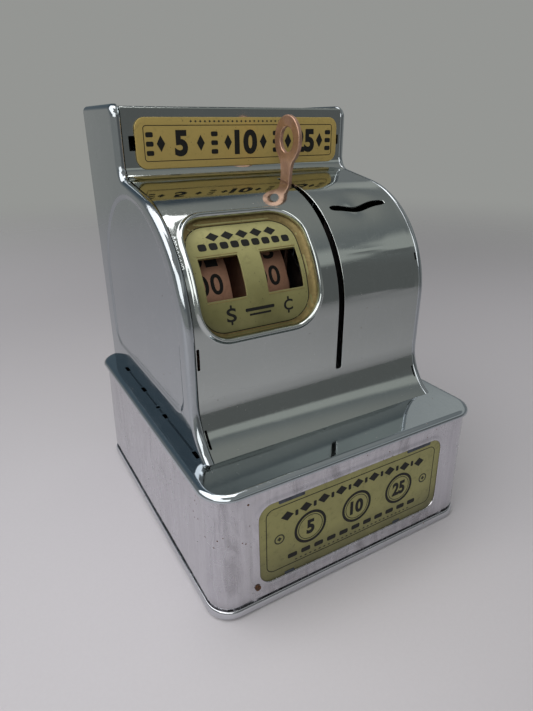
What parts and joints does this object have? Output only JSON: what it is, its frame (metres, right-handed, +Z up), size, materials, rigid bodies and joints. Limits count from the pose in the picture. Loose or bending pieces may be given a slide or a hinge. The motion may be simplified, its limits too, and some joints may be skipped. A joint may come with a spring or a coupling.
{
  "type": "coin register bank",
  "caption": "Cash-register-shaped coin bank of plated sheet steel with a pull-down ring lever, number drums behind a window, a coin slot and a bottom trap door.",
  "frame": {"origin": "middle of the bottom face, on the surface the bank stands on", "axes": "+X to the register's right as seen from the front, +Y to its back, +Z up"},
  "size_m": [0.115, 0.127, 0.1586],
  "materials": {
    "nickel": "bright plated, mirror-like",
    "worn_nickel": "plated, hazy and worn",
    "steel": "plain sheet and rod",
    "blued_steel": "blued spring steel",
    "copper": "copper plated, satin",
    "brass": "bright",
    "printed_tin": "printed tinplate under clear lacquer"
  },
  "bodies": {
    "housing": {"base_wall": "worn_nickel", "base_lid": "nickel", "base_floor": "nickel", "base_label": "printed_tin", "door_hinge_pin": "steel", "latch_bracket": "steel", "latch_pin": "steel", "left_side_plate": "nickel", "right_side_plate": "nickel", "front_panel": "nickel", "back_panel": "nickel", "sign_plate": "printed_tin", "back_label": "printed_tin", "window_plate": "printed_tin", "left_frame": "steel", "centre_frame": "steel", "right_frame": "steel", "front_spacer": "steel", "rear_spacer": "steel", "top_spacer": "steel", "main_shaft": "steel", "left_sleeve": "steel", "right_sleeve": "steel", "dollars_click_pin": "steel", "cents_click_pin": "steel", "lever_spring": "steel", "coin_chute": "steel", "feeler_pin": "steel", "bell": "brass", "bell_post": "steel", "hammer_pin": "steel", "frame_screw_1": "steel", "frame_screw_2": "steel", "frame_screw_3": "steel", "frame_screw_4": "steel"},
    "pull_lever": {"lever": "copper", "lever_sleeve": "steel", "drive_arm": "steel", "drive_pawl_pin": "steel"},
    "drive_pawl": {"drive_pawl": "blued_steel"},
    "cents_wheel": {"cents_drum": "copper", "cents_ratchet": "steel", "carry_pin": "steel"},
    "dollars_wheel": {"dollars_drum": "copper", "dollars_ratchet": "steel"},
    "cents_click": {"cents_click": "blued_steel"},
    "dollars_click": {"dollars_click": "blued_steel"},
    "carry_lever": {"carry_lever": "blued_steel"},
    "coin_feeler": {"coin_feeler": "blued_steel"},
    "bell_hammer": {"bell_hammer": "brass"},
    "trap_door": {"trap_door": "steel"},
    "door_latch": {"door_latch": "steel"}
  },
  "joints": [
    {"name": "lever_pull", "type": "hinge", "parent": "housing", "child": "pull_lever", "pos_m": [0.0099, 0.0073, 0.0894], "axis": [1, 0, 0], "range_deg": [0, 104]},
    {"name": "drive_pawl_swing", "type": "hinge", "parent": "pull_lever", "child": "drive_pawl", "pos_m": [-0.0041, 0.027, 0.09287], "axis": [1, 0, 0], "range_deg": [0, 5]},
    {"name": "cents_turn", "type": "hinge", "parent": "housing", "child": "cents_wheel", "pos_m": [-0.0126, 0.0073, 0.0894], "axis": [1, 0, 0], "continuous": true},
    {"name": "dollars_turn", "type": "hinge", "parent": "housing", "child": "dollars_wheel", "pos_m": [-0.0351, 0.0073, 0.0894], "axis": [1, 0, 0], "continuous": true},
    {"name": "cents_click_swing", "type": "hinge", "parent": "housing", "child": "cents_click", "pos_m": [-0.0041, 0.01077, 0.0697], "axis": [1, 0, 0], "range_deg": [0, 5]},
    {"name": "dollars_click_swing", "type": "hinge", "parent": "housing", "child": "dollars_click", "pos_m": [-0.0269, -0.01036, 0.08001], "axis": [1, 0, 0], "range_deg": [0, 3]},
    {"name": "carry_swing", "type": "hinge", "parent": "housing", "child": "carry_lever", "pos_m": [-0.024, 0.03674, 0.0724], "axis": [-1, 0, 0], "range_deg": [0, 10]},
    {"name": "feeler_swing", "type": "hinge", "parent": "housing", "child": "coin_feeler", "pos_m": [0.0273, -0.011, 0.108], "axis": [-1, 0, 0], "range_deg": [0, 8]},
    {"name": "hammer_swing", "type": "hinge", "parent": "housing", "child": "bell_hammer", "pos_m": [0.02, 0.02, 0.062], "axis": [-1, 0, 0], "range_deg": [-15, 3]},
    {"name": "door_open", "type": "hinge", "parent": "housing", "child": "trap_door", "pos_m": [-0.0413, 0, 0.0093], "axis": [0, 1, 0], "range_deg": [0, 88]},
    {"name": "latch_swing", "type": "hinge", "parent": "housing", "child": "door_latch", "pos_m": [0.02, 0, 0.014], "axis": [0, 1, 0], "range_deg": [0, 17]}
  ],
  "couplings": [
    {"joint": "dollars_turn", "follows": "cents_turn", "ratio": 0.05}
  ]
}
